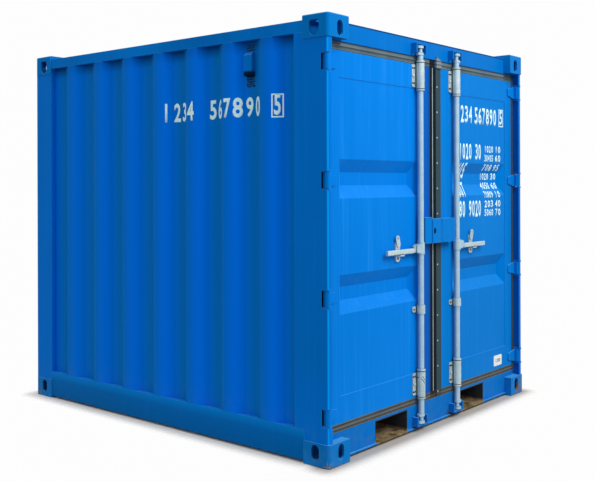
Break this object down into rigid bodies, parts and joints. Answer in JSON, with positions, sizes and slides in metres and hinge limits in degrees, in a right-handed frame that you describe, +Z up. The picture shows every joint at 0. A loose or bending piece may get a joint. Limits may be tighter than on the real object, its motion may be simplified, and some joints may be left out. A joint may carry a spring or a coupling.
{
  "type": "shipping container",
  "caption": "Short steel freight container with corner castings, corrugated walls, fork pockets and hinged doors held by turning lock rods with lifting handles.",
  "frame": {"origin": "middle of the ground rectangle under the corner castings", "axes": "+X to the right seen from the door end, +Y from the doors to the rear, +Z up"},
  "size_m": [2.2, 2.438, 2.26],
  "materials": {
    "blue_paint": "semi-gloss blue container paint, scuffed at the corners",
    "door_paint": "semi-gloss light blue container paint",
    "galvanised_steel": "dull hot-dip galvanised steel",
    "seal_rubber": "matt grey-brown door seal",
    "plywood": "sealed plywood floor"
  },
  "bodies": {
    "container": {"casting_door_left_bottom": "blue_paint", "casting_door_left_top": "blue_paint", "casting_door_right_bottom": "blue_paint", "casting_door_right_top": "blue_paint", "casting_rear_left_bottom": "blue_paint", "casting_rear_left_top": "blue_paint", "casting_rear_right_bottom": "blue_paint", "casting_rear_right_top": "blue_paint", "door_post_left": "blue_paint", "door_post_right": "blue_paint", "rear_post_left": "blue_paint", "rear_post_right": "blue_paint", "bottom_rail_left": "blue_paint", "bottom_rail_right": "blue_paint", "top_rail_left": "blue_paint", "top_rail_right": "blue_paint", "door_header": "blue_paint", "door_sill": "blue_paint", "rear_top_rail": "blue_paint", "rear_bottom_rail": "blue_paint", "fork_pocket_left": "blue_paint", "fork_pocket_right": "blue_paint", "cross_members": "blue_paint", "floor": "plywood", "side_wall_left": "blue_paint", "side_wall_right": "blue_paint", "rear_wall": "blue_paint", "roof": "blue_paint", "vent_hoods": "blue_paint", "cam_keepers": "blue_paint", "hinge_lugs_left": "blue_paint", "hinge_lugs_right": "blue_paint"},
    "left_door": {"left_door_frame": "door_paint", "left_door_panel": "door_paint", "left_door_gasket": "seal_rubber", "left_door_hinges": "door_paint", "left_lock_brackets": "galvanised_steel", "left_padlock_box": "door_paint"},
    "left_lock_rod": {"left_lock_rod": "galvanised_steel"},
    "left_handle": {"left_handle": "galvanised_steel"},
    "left_catch": {"left_catch": "galvanised_steel"},
    "right_door": {"right_door_frame": "door_paint", "right_door_panel": "door_paint", "right_door_gasket": "seal_rubber", "right_door_hinges": "door_paint", "right_lock_brackets": "galvanised_steel", "right_padlock_box": "door_paint"},
    "right_lock_rod": {"right_lock_rod": "galvanised_steel"},
    "right_handle": {"right_handle": "galvanised_steel"},
    "right_catch": {"right_catch": "galvanised_steel"}
  },
  "joints": [
    {"name": "left_door_swing", "type": "hinge", "parent": "container", "child": "left_door", "pos_m": [-1.078, -1.199, 0], "axis": [0, 0, -1], "range_deg": [0, 266]},
    {"name": "left_rod_turn", "type": "hinge", "parent": "left_door", "child": "left_lock_rod", "pos_m": [-0.184, -1.194, 0], "axis": [0, 0, -1], "range_deg": [-110, 0]},
    {"name": "left_handle_lift", "type": "hinge", "parent": "left_lock_rod", "child": "left_handle", "pos_m": [-0.228, -1.194, 1.04], "axis": [0, 1, 0], "range_deg": [0, 25]},
    {"name": "left_catch_turn", "type": "hinge", "parent": "left_door", "child": "left_catch", "pos_m": [-0.396, -1.1785, 1.074], "axis": [0, -1, 0], "range_deg": [0, 164]},
    {"name": "right_door_swing", "type": "hinge", "parent": "container", "child": "right_door", "pos_m": [1.078, -1.199, 0], "axis": [0, 0, 1], "range_deg": [0, 266]},
    {"name": "right_rod_turn", "type": "hinge", "parent": "right_door", "child": "right_lock_rod", "pos_m": [0.236, -1.194, 0], "axis": [0, 0, 1], "range_deg": [-110, 0]},
    {"name": "right_handle_lift", "type": "hinge", "parent": "right_lock_rod", "child": "right_handle", "pos_m": [0.28, -1.194, 1.04], "axis": [0, -1, 0], "range_deg": [0, 25]},
    {"name": "right_catch_turn", "type": "hinge", "parent": "right_door", "child": "right_catch", "pos_m": [0.448, -1.1785, 1.074], "axis": [0, 1, 0], "range_deg": [0, 164]}
  ]
}
